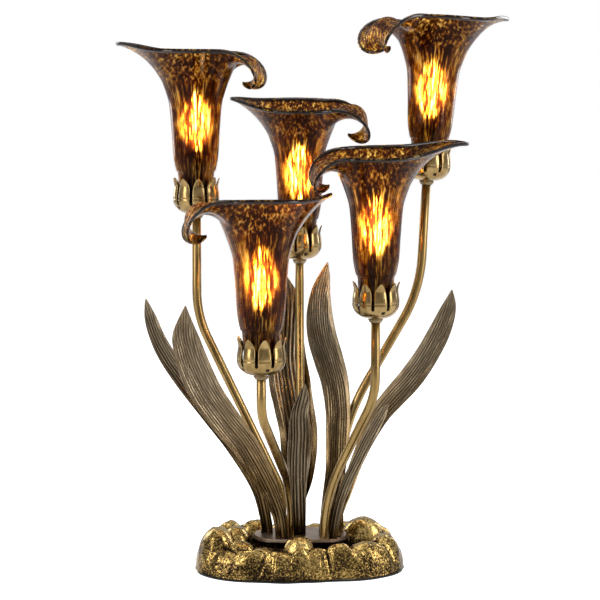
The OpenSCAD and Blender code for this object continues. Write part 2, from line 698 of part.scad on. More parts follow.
// Leaf stations from the tip to the foot, chosen by eye: right of the middle, back from
// it, height above the plate, half width
leaf_rows = [
    [[-161, 34, 243, 0.6], [-156, 33, 224, 6.5], [-148, 31, 202, 8.5], [-137, 29, 182, 9.6],
     [-119, 25, 157, 10], [-94, 18, 126, 9.8], [-66, 11, 90, 9], [-43, 7, 49, 7], [-34, 6, 14, 6], [-33, 6, 0, 6.2]],
    [[-115, -28, 243, 0.6], [-116, -27, 217, 12], [-113, -26, 200, 15], [-106, -24, 178, 16.5],
     [-94, -21, 152, 16.5], [-75, -18, 124, 15.5], [-54, -15, 96, 13.5], [-34, -15, 60, 10.5],
     [-20, -18, 26, 7.5], [-17, -18, 0, 6.5]],
    [[-16, 108, 263, 0.6], [-11, 106, 236, 11], [-12, 99, 204, 16], [-13, 88, 174, 20.5],
     [-10, 76, 147, 22.5], [-6, 67, 126, 21.5], [-1, 57, 100, 20.5], [0, 46, 74, 19],
     [0, 36, 50, 14.5], [-2, 29, 27, 8.5], [-3, 24.5, 0, 6.5]],
    [[6, -46, 166, 0.6], [4, -45, 154, 6], [0, -43, 135, 9.5], [0, -40, 112, 12], [-1, -37, 87, 11.5],
     [-1, -34, 62, 8.5], [0, -28, 32, 7], [1, -20, 0, 6]],
    [[30, 32, 282, 0.6], [27, 32, 268, 6], [23, 31, 250, 10.5], [22, 29, 227, 14], [25, 26, 204, 15.6],
     [32, 22, 180, 15.6], [38, 17, 158, 14.5], [41, 10, 128, 13], [40, 4, 99, 12], [38, -1, 69, 10.5],
     [32, -3, 38, 8.2], [28, -3, 10, 7], [27, -3, 0, 7]],
    [[157, -4, 257, 0.6], [154, -4, 239, 7.5], [145, -5, 215, 11], [131, -6, 189, 12], [115, -7, 166, 12.5],
     [98, -8, 147, 11.8], [84, -9, 130, 10.5], [71, -11, 106, 8.2], [59, -12, 79, 6.6], [49, -13, 50, 5.8],
     [40, -12, 24, 5.2], [38, -11, 0, 5]],
    [[90, -42, 145, 0.8], [84, -41, 135, 4.8], [77, -39, 122, 5.7], [68, -36, 104, 6.4], [59, -33, 84, 6],
     [48, -29, 60, 5.5], [40, -25, 34, 4.4], [34, -21, 0, 4.2]]];
// Bearing that each leaf's face looks to, at the tip and at the foot, and how far its
// edges fold forward at the tip and at the foot, as a part of the half width
leaf_face = [[250, 262, 0.12, 0.7], [280, 262, 0.1, 0.75], [272, 270, 0.08, 0.6], [285, 268, 0.6, 0.8],
             [250, 275, 0.08, 0.7], [262, 280, 0.1, 0.7], [262, 285, 0.3, 0.8]];

function leaf_count(i) = len(leaf_rows[i]);
leaf_fine = 2;
// A smooth curve through the stations
function spline(v, s) =
    let (n = len(v), k = min(floor(s), n - 2), t = s - k,
         a = v[max(k - 1, 0)], b = v[k], c = v[k + 1], d = v[min(k + 2, n - 1)])
    0.5 * (2 * b + (c - a) * t + (2 * a - 5 * b + 4 * c - d) * t * t + (3 * b - a - 3 * c + d) * pow(t, 3));
function leaf_at(i, s) = let (p = spline(leaf_rows[i], s))
    [p[0], p[1], deck_top + p[2] * leaf_rise, max(0.4, p[3] * leaf_spread)];
leaf_across = [-1, -0.5, 0, 0.5, 1];
function unit(v) = v / norm(v);
function xyz(p) = [p[0], p[1], p[2]];

module leaf(i) {
    last = leaf_count(i) - 1;
    steps = last * leaf_fine;
    n = len(leaf_across);
    ring = 2 * n;
    points = [for (k = [0 : steps])
        let (s = k / leaf_fine, f = k / steps, p = leaf_at(i, s), look = leaf_face[i],
             along = unit(xyz(leaf_at(i, min(s + 0.2, last))) - xyz(leaf_at(i, max(s - 0.2, 0)))),
             bearing = look[0] + (look[1] - look[0]) * f,
             across = unit(cross([cos(bearing), sin(bearing), 0], along)),
             out = unit(cross(along, across)),
             fold = p[3] * (look[2] + (look[3] - look[2]) * pow(f, 1.5)))
        for (j = [0 : ring - 1])
            let (c = leaf_across[j < n ? j : ring - 1 - j], side = j < n ? 0.5 : -0.5,
                 q = xyz(p) + across * c * p[3] + out * (fold * pow(abs(c), 1.4) + side * leaf_t))
            [q[0], q[1], k == steps ? deck_top : q[2]]];
    color(i == 1 || i == 5 ? old_brass : bronze) polyhedron(points, concat(
        [[for (j = [0 : ring - 1]) j], [for (j = [ring - 1 : -1 : 0]) steps * ring + j]],
        [for (k = [0 : steps - 1], j = [0 : ring - 1])
            let (a = k * ring, b = a + ring, m = (j + 1) % ring)
            each [[a + j, b + j, b + m], [a + j, b + m, a + m]]]));
}

base_casting();
stem_plate();
bottom_cover();
cover_screws();
felt_pad();
inlet_bushing();
stem_washers();
stem_nuts();
lamp_leads();
splice_caps();
for (i = FLOWERS) stem(i);
for (i = FLOWERS) collar(i);
for (i = FLOWERS) cup(i);
for (i = FLOWERS) socket(i);
for (i = FLOWERS) seat_ring(i);
for (i = FLOWERS) shade(i);
for (i = FLOWERS) bulb_glass(i);
for (i = FLOWERS) bulb_cap(i);
for (i = LEAVES) leaf(i);
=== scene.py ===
"""Looks of the calla lily accent lamp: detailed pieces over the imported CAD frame."""
import math

import bmesh
import bpy
from mathutils import Matrix, Vector, noise


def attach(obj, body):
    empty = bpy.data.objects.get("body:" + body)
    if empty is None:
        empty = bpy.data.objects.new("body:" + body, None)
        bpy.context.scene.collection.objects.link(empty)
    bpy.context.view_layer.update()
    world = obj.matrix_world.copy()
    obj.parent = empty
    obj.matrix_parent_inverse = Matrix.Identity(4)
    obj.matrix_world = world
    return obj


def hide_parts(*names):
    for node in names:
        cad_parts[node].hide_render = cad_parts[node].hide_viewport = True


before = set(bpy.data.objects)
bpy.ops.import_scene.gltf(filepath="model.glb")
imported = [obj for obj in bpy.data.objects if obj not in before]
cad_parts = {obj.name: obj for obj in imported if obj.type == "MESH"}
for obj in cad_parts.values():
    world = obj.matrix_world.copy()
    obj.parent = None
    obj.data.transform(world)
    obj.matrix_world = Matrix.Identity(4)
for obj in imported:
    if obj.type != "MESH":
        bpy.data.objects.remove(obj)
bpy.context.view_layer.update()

MM = 0.001
FLOWERS = range(5)

# The same places and sizes as in part.scad, in millimetres and degrees
flower_at = [(-106.5, 22, 385.5), (0.5, 96, 331.5), (-36.5, -106, 237), (77.5, -32, 283),
             (134, 38, 419)]
foot_at = [(-18, 4), (2, 14), (-8, -11), (26, -14), (42, 7)]
# Straight foot, radii of the low and the high bend, lean between them, lean at the top
stem_bends = [(52, 53, 107, 26.4, 0), (22, 96, 128, 21.4, 0), (38, 72, 34, 46.5, 0),
              (18, 180, 81, 26.2, 0), (71, 200, 140, 32.2, 3.2)]
point_bearing = [172, 182, 8, 4, 22]
point_lip = [66, 58, 55, 75, 67]
curl_lip = [76, 90, 90, 66, 84]
rim_tilt = [1, 8, -5, 6, 0]
point_turn = [50, 40, 30, 60, 54]
deck_z, plate_t = 33, 3
deck_top = deck_z + plate_t
base_at = (1.5, 1)
casting_z = 2.8
cup_r, cup_depth, cup_foot_r, cup_wall = 24, 15.5, 8, 1.2
petal_h, petals = 21, 9
stem_r, stem_low, stem_wall, stem_in_cup = 4.75, 17, 1, 5
glass_t = 2.6


def sind(a):
    return math.sin(math.radians(a))


def cosd(a):
    return math.cos(math.radians(a))


def tand(a):
    return math.tan(math.radians(a))


def share(value, start, over):
    """How far a value is on its way from start over a length, from 0 to 1."""
    return max(0.0, min(1.0, (value - start) / over))


def heading(i):
    return math.atan2(flower_at[i][1] - foot_at[i][1], flower_at[i][0] - foot_at[i][0])


def flower_matrix(i):
    """From a flower's own frame, with its axis up, to its place on the stem."""
    turn = Matrix.Rotation(heading(i), 4, "Z")
    lean = Matrix.Rotation(math.radians(stem_bends[i][4]), 4, "Y")
    return Matrix.Translation(Vector(flower_at[i])) @ turn @ lean @ turn.inverted()


# Meshes
def make(name, verts, faces, material, body="lamp", replaced=(), attribute=None,
         closed=True):
    """A piece from points in millimetres; a closed one gets its faces turned outwards."""
    mesh = bpy.data.meshes.new(name)
    mesh.from_pydata([tuple(c * MM for c in v) for v in verts], [], faces)
    if closed:
        solid = bmesh.new()
        solid.from_mesh(mesh)
        inside_out = solid.calc_volume(signed=True) < 0
        solid.free()
        if inside_out:
            mesh.flip_normals()
    if attribute:
        layer = mesh.attributes.new("flow", "FLOAT_VECTOR", "POINT")
        layer.data.foreach_set("vector", [c for v in attribute for c in v])
    mesh.materials.append(material)
    mesh.validate()
    mesh.polygons.foreach_set("use_smooth", [True] * len(mesh.polygons))
    mesh.update()
    piece = bpy.data.objects.new(name, mesh)
    bpy.context.scene.collection.objects.link(piece)
    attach(piece, body)
    if replaced:
        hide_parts(*replaced)
    return piece


def grid_faces(rows, columns, closed_rows=False, closed_columns=False):
    faces = []
    for r in range(rows if closed_rows else rows - 1):
        for c in range(columns if closed_columns else columns - 1):
            a, b = r * columns, ((r + 1) % rows) * columns
            faces.append((a + c, a + (c + 1) % columns, b + (c + 1) % columns, b + c))
    return faces


def spline(v, s):
    """The smooth line through the rows of a table, at place s counted in rows."""
    n = len(v)
    k = min(int(s), n - 2)
    t = s - k
    a, b, c, d = v[max(k - 1, 0)], v[k], v[k + 1], v[min(k + 2, n - 1)]
    return [0.5 * (2 * b[j] + (c[j] - a[j]) * t
                   + (2 * a[j] - 5 * b[j] + 4 * c[j] - d[j]) * t * t
                   + (3 * b[j] - a[j] - 3 * c[j] + d[j]) * t ** 3) for j in range(len(b))]


def fbm(p, grain, octaves):
    """Fractal noise at a point, the same in each run."""
    return noise.fractal(Vector(p) * grain, 1.0, 2.0, octaves, noise_basis="PERLIN_ORIGINAL")


def ring_tube(points, sides):
    """A closed tube through points, each with its own radius."""
    n = len(points)
    verts = []
    x = Vector((0, 0, 1))
    for k in range(n):
        d = (points[(k + 1) % n][0] - points[k - 1][0]).normalized()
        x = (x - d * x.dot(d)).normalized()
        y = d.cross(x)
        for s in range(sides):
            a = 2 * math.pi * s / sides
            verts.append(points[k][0] + (x * math.cos(a) + y * math.sin(a)) * points[k][1])
    return verts, grid_faces(n, sides, closed_rows=True, closed_columns=True)


def tube(points, radius, bore, sides, side_axis=Vector((0, 0, 1))):
    """A pipe along points: the rings of its outside, then those of its bore backwards."""
    verts = []
    n = len(points)
    for r, order in ((radius, range(n)), (bore, range(n - 1, -1, -1))):
        for k in order:
            d = (points[min(k + 1, n - 1)] - points[max(k - 1, 0)]).normalized()
            x = side_axis.cross(d).normalized()
            y = d.cross(x)
            for s in range(sides):
                a = 2 * math.pi * s / sides
                verts.append(points[k] + (x * math.cos(a) + y * math.sin(a)) * r)
    return verts, grid_faces(2 * n, sides, closed_rows=True, closed_columns=True)


def lathe(profile, sides, matrix):
    """A profile of radius and height, turned round the axis of a flower."""
    turns = [2 * math.pi * s / sides for s in range(sides)]
    verts = [matrix @ Vector((r * math.cos(a), r * math.sin(a), z))
             for r, z in profile for a in turns]
    return verts, grid_faces(len(profile), sides, closed_columns=True)


# Node trees
gloss_share = 0.5


class Tree:
    """A short way to write a node tree."""

    def __init__(self, tree):
        self.tree = tree

    def add(self, kind, **values):
        node = self.tree.nodes.new(kind)
        for key, value in values.items():
            setattr(node, key, value)
        return node

    def link(self, a, b):
        self.tree.links.new(a, b)

    def mapped(self, vector, scale):
        m = self.add("ShaderNodeMapping")
        self.link(vector, m.inputs["Vector"])
        m.inputs["Scale"].default_value = scale
        return m.outputs["Vector"]

    def noise(self, vector, scale, detail=3.0, rough=0.5, distort=0.0):
        n = self.add("ShaderNodeTexNoise")
        self.link(vector, n.inputs["Vector"])
        n.inputs["Scale"].default_value = scale
        n.inputs["Detail"].default_value = detail
        n.inputs["Roughness"].default_value = rough
        n.inputs["Distortion"].default_value = distort
        return n.outputs["Fac"]

    def ramp(self, value, stops):
        r = self.add("ShaderNodeValToRGB")
        self.link(value, r.inputs["Fac"])
        e = r.color_ramp.elements
        while len(e) < len(stops):
            e.new(0.5)
        for k, (at, colour) in enumerate(stops):
            e[k].position = at
            e[k].color = (*colour, 1)
        return r.outputs["Color"]

    def math(self, kind, a, b, clamp=False):
        m = self.add("ShaderNodeMath", operation=kind, use_clamp=clamp)
        for k, v in enumerate([a, b]):
            if isinstance(v, (int, float)):
                m.inputs[k].default_value = v
            else:
                self.link(v, m.inputs[k])
        return m.outputs["Value"]

    def mix(self, fac, a, b, kind="MIX"):
        """Mixes colour a with the constant colour b."""
        m = self.add("ShaderNodeMix", data_type="RGBA", blend_type=kind)
        factor, first, second, result = 0, 6, 7, 2
        self.link(fac, m.inputs[factor])
        self.link(a, m.inputs[first])
        m.inputs[second].default_value = (*b, 1)
        return m.outputs[result]

    def separate(self, vector):
        s = self.add("ShaderNodeSeparateXYZ")
        self.link(vector, s.inputs["Vector"])
        return s.outputs

    def background_share(self):
        """Share of white room in a ray: all for the camera and through glass, less in a shine."""
        rays = self.add("ShaderNodeLightPath").outputs
        shiny = self.math("MULTIPLY", rays["Is Glossy Ray"], gloss_share)
        bent = self.math("MAXIMUM", shiny, rays["Is Transmission Ray"])
        return self.math("MAXIMUM", rays["Is Camera Ray"], bent)


class Look(Tree):
    """A material built on the principled shader."""

    def __init__(self, name):
        self.material = bpy.data.materials.new(name)
        self.material.use_nodes = True
        super().__init__(self.material.node_tree)
        self.shader = self.tree.nodes["Principled BSDF"]

    def set(self, **values):
        for key, value in values.items():
            self.shader.inputs[key.replace("_", " ")].default_value = value

    def coords(self):
        return self.add("ShaderNodeTexCoord").outputs["Object"]

    def flow(self):
        return self.add("ShaderNodeAttribute", attribute_name="flow").outputs["Vector"]

    def colour(self, socket):
        self.link(socket, self.shader.inputs["Base Color"])

    def rough(self, socket, low, high):
        m = self.add("ShaderNodeMapRange")
        self.link(socket, m.inputs["Value"])
        m.inputs["To Min"].default_value = low
        m.inputs["To Max"].default_value = high
        self.link(m.outputs["Result"], self.shader.inputs["Roughness"])

    def bump(self, height, strength, distance):
        b = self.add("ShaderNodeBump")
        self.link(height, b.inputs["Height"])
        b.inputs["Strength"].default_value = strength
        b.inputs["Distance"].default_value = distance
        self.link(b.outputs["Normal"], self.shader.inputs["Normal"])


# Materials
tone_stops, grain_stops = (0.25, 0.5, 0.78), (0.3, 0.7)
metal_blotch_rough, metal_wear_finer, metal_bump_finer, metal_bump_deep = 0.6, 4, 12, 0.0004
plastic_bump_finer, plastic_bump_deep = 3, 0.0003


def zip_stops(places, colours):
    """The stops of a colour ramp."""
    return list(zip(places, colours))


def metal(name, tones, grain, rough=(0.25, 0.4), bump=0.05, stretch=(1, 1, 1)):
    """Metal in a dark, a middle and a light tone, with finer wear and the finest bumps."""
    n = Look(name)
    where = n.mapped(n.coords(), stretch)
    blotch = n.noise(where, grain, detail=4, rough=metal_blotch_rough)
    n.colour(n.ramp(blotch, zip_stops(tone_stops, tones)))
    n.rough(n.noise(where, grain * metal_wear_finer), *rough)
    n.bump(n.noise(where, grain * metal_bump_finer), bump, metal_bump_deep)
    n.set(Metallic=1.0)
    return n.material


def plastic(name, tones, rough=(0.4, 0.6), grain=300, bump=0.1):
    """Plastic, rubber or felt in a dark and a light tone."""
    n = Look(name)
    speck = n.noise(n.coords(), grain)
    n.colour(n.ramp(speck, zip_stops(grain_stops, tones)))
    n.rough(speck, *rough)
    fine = n.noise(n.coords(), grain * plastic_bump_finer, detail=2)
    n.bump(fine, bump, plastic_bump_deep)
    return n.material


# Mottle of the glass: long streaks and fine flecks in a slow cloud, a little lighter at the lip
streak_grain, fleck_grain, cloud_grain = 0.5, 1.1, 0.09
streak_share, fleck_share, cloud_share = 0.66, 0.34, 0.22
lip_from, lip_rise, lip_gain = 20.0, 0.06, 0.014
glass_tones = [(0.45, (0.018, 0.003, 0.001)), (0.505, (0.065, 0.012, 0.0015)),
               (0.532, (0.4, 0.11, 0.005)), (0.556, (0.94, 0.5, 0.04)),
               (0.61, (1.0, 0.82, 0.28))]


def shade_glass(name, rough):
    """Mottled glass; the attribute goes round the shade in x and y and up its wall in z."""
    n = Look(name)
    flow = n.flow()
    streak = n.noise(flow, streak_grain, detail=4.0, rough=0.6, distort=0.15)
    fleck = n.noise(flow, fleck_grain, detail=2.5, rough=0.6, distort=0.1)
    cloud = n.math("SUBTRACT", n.noise(flow, cloud_grain, detail=2.0), 0.5)
    both = n.math("ADD", n.math("MULTIPLY", streak, streak_share),
                  n.math("MULTIPLY", fleck, fleck_share))
    clouded = n.math("ADD", both, n.math("MULTIPLY", cloud, cloud_share))
    past = n.math("SUBTRACT", n.separate(flow)[2], lip_from)
    lip = n.math("MULTIPLY", past, lip_rise, clamp=True)
    n.colour(n.ramp(n.math("ADD", clouded, n.math("MULTIPLY", lip, lip_gain)), glass_tones))
    n.set(Roughness=rough, IOR=1.2, Transmission_Weight=0.94, Specular_Tint=(1.0, 0.6, 0.42, 1))
    return n.material


rim_grain = 420
rim_tones = [(0.35, (0.004, 0.003, 0.003)), (0.6, (0.014, 0.007, 0.004)),
             (0.72, (0.12, 0.04, 0.01))]


def rim_glass():
    """Nearly black glass with a few brown specks."""
    n = Look("dark_rim_glass")
    n.colour(n.ramp(n.noise(n.coords(), rim_grain), rim_tones))
    n.set(Roughness=0.06, IOR=1.4)
    return n.material


# Leaves: tones of the brushed metal, the near-black painted shade in the valleys between the ribs,
# the wear and the golden foot
leaf_tones = [(0.25, (0.07, 0.05, 0.03)), (0.5, (0.2, 0.145, 0.085)), (0.72, (0.62, 0.5, 0.33))]
leaf_valley_shade, valley_shade_share = (0.012, 0.009, 0.006), 0.95
leaf_wear, wear_share, wear_grain = (0.3, 0.25, 0.19), 0.15, 45
leaf_gold, gold_from, gold_rise = (1.0, 0.84, 0.56), 90.0, 0.008
brush_stretch, brush_grain = (1, 0.03, 0), 1.8


def toned(colour, tone):
    return tuple(c * tone for c in colour)


def leaf_metal(name, valley_shading, tone):
    """Brushed dark bronze with painted shade between the ribs; the attribute holds across, along,
    and the painted shade down the valleys between the ribs added to the darker foot.
    """
    n = Look(name)
    flow = n.flow()
    part = n.separate(flow)
    brushed = n.noise(n.mapped(flow, brush_stretch), brush_grain, detail=3.5, rough=0.55)
    blotch = n.noise(n.coords(), wear_grain, detail=4.0)
    base = n.ramp(brushed, [(at, toned(colour, tone)) for at, colour in leaf_tones])
    # Painted shade, near black, down the valleys between the ribs
    valley_shade = n.math("MULTIPLY", part[2], valley_shade_share * valley_shading, clamp=True)
    shaded = n.mix(valley_shade, base, leaf_valley_shade)
    worn = n.mix(n.math("MULTIPLY", blotch, wear_share, clamp=True), shaded, toned(leaf_wear, tone))
    low = n.math("MULTIPLY", n.math("SUBTRACT", part[1], gold_from), gold_rise, clamp=True)
    n.colour(n.mix(low, worn, leaf_gold, "MULTIPLY"))
    n.rough(brushed, low=0.16, high=0.34)
    n.bump(brushed, strength=0.15, distance=0.0004)
    n.set(Metallic=1.0)
    return n.material


# Casting: blotches under a fine stipple, darker between the rocks and at the foot
blotch_grain, stipple_grain, pitted_grain = 45, 520, 900
blotch_share, stipple_share, worn_gain, darkening_share = 0.3, 0.7, 0.045, 0.21
casting_tones = [(0.39, (0.01, 0.006, 0.003)), (0.44, (0.055, 0.032, 0.01)),
                 (0.48, (0.24, 0.15, 0.038)), (0.6, (0.64, 0.45, 0.16))]


def casting_metal():
    """Antique gold; the attribute's x is how much darker a point is made: in the grooves and pits,
    between low rocks, where the wall steps back, and more towards the foot.
    """
    n = Look("antique_gold_casting")
    where = n.coords()
    blotch = n.math("MULTIPLY", n.noise(where, blotch_grain), blotch_share)
    fine = n.noise(where, stipple_grain, detail=4.0, rough=0.75)
    both = n.math("ADD", blotch, n.math("MULTIPLY", fine, stipple_share))
    darkening = n.math("MULTIPLY", n.separate(n.flow())[0], darkening_share)
    n.colour(n.ramp(n.math("SUBTRACT", n.math("ADD", both, worn_gain), darkening), casting_tones))
    n.rough(fine, low=0.14, high=0.36)
    pitted = n.noise(where, pitted_grain, detail=4.0, rough=0.7)
    n.bump(pitted, strength=0.2, distance=0.0006)
    n.set(Metallic=0.92)
    return n.material


# Bulb: its light by height, by the nearness of a filament stick, and its power
bulb_grain, bulb_tones = 150, ((0.72, 0.56, 0.3), (0.78, 0.64, 0.4))
bulb_light = [(0.0, 0.03), (0.2, 0.7), (0.45, 1), (0.7, 0.6), (0.95, 0.04)]
stick_share, between_sticks = 0.9, 0.1
bulb_power, bare_power, bulb_colour = 150.0, 0.9, (1.0, 0.88, 0.55, 1)


def glowing():
    """The lit bulb; the attribute's x runs up it, and its y is 1 beside a filament stick."""
    n = Look("lit_bulb")
    speck = n.noise(n.coords(), bulb_grain, detail=2)
    n.colour(n.ramp(speck, zip_stops(grain_stops, bulb_tones)))
    part = n.separate(n.flow())
    middle = n.ramp(part[0], [(at, (light, light, light)) for at, light in bulb_light])
    stick = n.math("ADD", n.math("MULTIPLY", part[1], stick_share), between_sticks)
    # Seen bare, the bulb is dimmer, so that its shape shows
    bare = n.add("ShaderNodeLightPath").outputs["Is Camera Ray"]
    power = n.math("SUBTRACT", bulb_power, n.math("MULTIPLY", bare, bulb_power - bare_power))
    light = n.math("MULTIPLY", n.math("MULTIPLY", middle, stick), power)
    n.link(light, n.shader.inputs["Emission Strength"])
    n.set(Roughness=0.3, Emission_Color=bulb_colour)
    return n.material


satin_brass = metal("satin_brass", ((0.15, 0.095, 0.033), (0.26, 0.17, 0.062), (0.38, 0.265, 0.11)),
                    grain=60, rough=(0.22, 0.34), stretch=(1, 1, 0.08))
cup_brass = metal("antique_cup_brass",
                  ((0.13, 0.082, 0.03), (0.25, 0.168, 0.066), (0.42, 0.3, 0.135)),
                  grain=70, rough=(0.16, 0.28))
plate_brass = metal("worn_plate_brass",
                    ((0.24, 0.18, 0.135), (0.34, 0.265, 0.205), (0.45, 0.37, 0.3)),
                    grain=80, rough=(0.32, 0.5), bump=0.15)
collar_brass = metal("dark_collar_brass",
                     ((0.09, 0.065, 0.035), (0.18, 0.13, 0.07), (0.3, 0.23, 0.13)),
                     grain=120, bump=0.1)
steel = metal("nickel_steel", ((0.45, 0.44, 0.42), (0.6, 0.59, 0.57), (0.75, 0.74, 0.72)),
              grain=120)
black_plastic = plastic("black_plastic", ((0.012, 0.01, 0.01), (0.035, 0.03, 0.028)))
black_rubber = plastic("black_rubber", ((0.02, 0.018, 0.018), (0.04, 0.038, 0.036)),
                       rough=(0.55, 0.75), grain=200, bump=0.2)
felt = plastic("dark_felt", ((0.012, 0.014, 0.013), (0.045, 0.048, 0.046)),
               rough=(0.85, 1.0), grain=1500, bump=0.6)
cap_metal = metal("bulb_cap_metal", ((0.5, 0.46, 0.38), (0.65, 0.6, 0.5), (0.8, 0.76, 0.66)),
                  grain=150)
mottled = shade_glass("mottled_amber_glass", rough=0.14)
mottled_inside = shade_glass("mottled_glass_inside", rough=0.6)
rim_dark = rim_glass()
glow = glowing()
gold_casting = casting_metal()
leaf_dark = leaf_metal("dark_bronze_leaf", valley_shading=1.0, tone=0.62)
# A lighter copy of the same bronze: painted light on the leaves that the light falls on
leaf_lit_copy = leaf_metal("lit_bronze_leaf", valley_shading=0.95, tone=0.8)

# Pieces that keep their CAD shape
dressed = {"stem_plate": plate_brass, "bottom_cover": steel, "cover_screws": steel,
           "felt_pad": felt, "inlet_bushing": black_plastic, "stem_washers": steel,
           "stem_nuts": satin_brass, "lamp_leads": black_rubber, "splice_caps": black_plastic}
for i in FLOWERS:
    dressed[f"socket_{i + 1}"] = black_plastic
    dressed[f"seat_ring_{i + 1}"] = black_rubber
    dressed[f"bulb_cap_{i + 1}"] = cap_metal
for name, material in dressed.items():
    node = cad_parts[name]
    if not node.material_slots:
        node.data.materials.append(material)
    for place in node.material_slots:
        place.material = material

# Shades: the body's line as radius and height, then the lip
collar_line_r, barrel_r, shoulder_r, shoulder_h, neck_r = 18.5, 25, 34, 95, 16.5
shade_low = -3.48
line_z = petal_h + 3
wide, flare = barrel_r - collar_line_r, shoulder_r - barrel_r
shade_body = [(neck_r, shade_low), (collar_line_r, line_z),
              (collar_line_r + wide * 0.3, line_z + 5), (collar_line_r + wide * 0.63, line_z + 15),
              (collar_line_r + wide * 0.8, line_z + 25), (barrel_r, line_z + shoulder_h * 0.5),
              (barrel_r + flare * 0.22, line_z + shoulder_h * 0.75),
              (barrel_r + flare * 0.52, line_z + shoulder_h * 0.87),
              (shoulder_r, line_z + shoulder_h)]
point_width, point_sharp, curl_half = 24, 1.15, 54
shoulder_slope, curl_slope, side_lip = 63, 68, 38
side_turn, curl_turn, curl_straight = 10, 262, 0.25
body_rows, lip_rows, shade_sides, side_bunch = 44, 36, 160, 15
# The lip ends this much inside the CAD lip, so that its round edge stays within the CAD shade's
# outline
lip_short = 1.1
rim_round, rim_bulge = 5, 0.2
tilt_start = line_z + shoulder_h * 0.6
# The dark bead round the lip: its radius, how much thinner at the curl, how far back it lies
bead_r, bead_thinner, bead_back, bead_sides = 2.1, 0.9, 2, 16
# The mottle's own measures: streaks are long on the body and turn to speckles at the mouth
mouth_from, mouth_over = 125, 45
flow_r, flow_wider, flow_body, flow_mouth, flow_apart = 24, 16, 0.085, 0.3, 97


def point_share(a):
    return math.exp(-(abs(a) / point_width) ** point_sharp)


def curl_share(a):
    t = max(0.0, 1 - (180 - abs(a)) / curl_half)
    return t * t * (3 - 2 * t)


def around(a, side, point, curl):
    """A value round the lip, from its values at the sides, at the point and at the curl."""
    return side + (point - side) * point_share(a) + (curl - side) * curl_share(a)


def shade_line(i, a):
    """One face of the glass in the section at angle a, from the neck to the end of the lip."""
    last = len(shade_body) - 1
    line = [tuple(spline(shade_body, last * k / body_rows)) for k in range(body_rows + 1)]
    r, z = line[-1]
    start = around(a, 0, 0, curl_straight)
    slope = around(a, shoulder_slope, shoulder_slope, curl_slope)
    turn = around(a, side_turn, point_turn[i], curl_turn)
    length = around(a, side_lip, point_lip[i], curl_lip[i]) - lip_short
    for k in range(lip_rows):
        t = (k + 0.5) / lip_rows
        h = slope - turn * max(0, t - start) / (1 - start)
        r += length / lip_rows * cosd(h)
        z += length / lip_rows * sind(h)
        line.append((r, z))
    return line


def glass_section(line):
    """Points up one face of the glass, round the lip and down the other face, each with its
    length along the wall. The last point is the middle of the dark bead, without a length."""
    rows = len(line)
    outward, lengths = [Vector((-1, 0))], [0.0]
    for j in range(1, rows):
        p, q = line[j - 1], line[min(j + 1, rows - 1)]
        d = Vector((q[0] - p[0], q[1] - p[1])).normalized()
        outward.append(Vector((-d[1], d[0])))
        lengths.append(lengths[-1] + math.dist(line[j], p))
    section = [(Vector(p), length) for p, length in zip(line, lengths)]
    tip, n = Vector(line[-1]), outward[-1]
    along = Vector((n[1], -n[0]))
    for m in range(1, rim_round + 1):
        t = math.pi * m / (rim_round + 1)
        edge = (tip + n * glass_t / 2 * (1 - math.cos(t))
                + along * glass_t / 2 * math.sin(t) * rim_bulge)
        section.append((edge, lengths[-1]))
    section += [(Vector(line[j]) + outward[j] * glass_t, lengths[j])
                for j in range(rows - 1, -1, -1)]
    return section + [(tip + n * glass_t / 2 - along * bead_back, None)]


def make_shade(i):
    matrix = flower_matrix(i)
    verts, flow, rim = [], [], []
    for k in range(shade_sides):
        u = 2 * k / shade_sides - 1
        # Sections lie closer together at the point and at the curl than at the sides
        a = 180 * u - side_bunch * sind(360 * u)
        b = a + point_bearing[i]
        for p, length in glass_section(shade_line(i, a)):
            lift = share(p[1], tilt_start, line_z + shoulder_h - tilt_start)
            raised = p[1] + p[0] * sind(b) * tand(rim_tilt[i]) * lift
            v = matrix @ Vector((p[0] * cosd(b), p[0] * sind(b), raised))
            if length is None:
                rim.append((v, bead_r - bead_thinner * curl_share(a)))
                continue
            verts.append(v)
            far = share(length, mouth_from, mouth_over)
            r = flow_r + flow_wider * far
            z = length * flow_body + max(0.0, length - mouth_from) * flow_mouth * far
            flow.append((r * cosd(b), r * sind(b) + i * flow_apart, z))
    rows = body_rows + lip_rows + 1
    ring = 2 * rows + rim_round
    faces = grid_faces(shade_sides, ring, closed_rows=True, closed_columns=True)
    piece = make(f"lily_shade_{i + 1}", verts, faces, mottled, f"glass_{i + 1}",
                 replaced=(f"shade_{i + 1}",), attribute=flow)
    piece.data.materials.append(mottled_inside)
    other_face = [int(k % ring >= rows) for k in range(len(faces))]
    piece.data.polygons.foreach_set("material_index", other_face)
    verts, faces = ring_tube(rim, bead_sides)
    make(f"lily_rim_{i + 1}", verts, faces, rim_dark, f"glass_{i + 1}")


for i in FLOWERS:
    make_shade(i)

# Stems
bend_steps, stem_sides = 16, 40


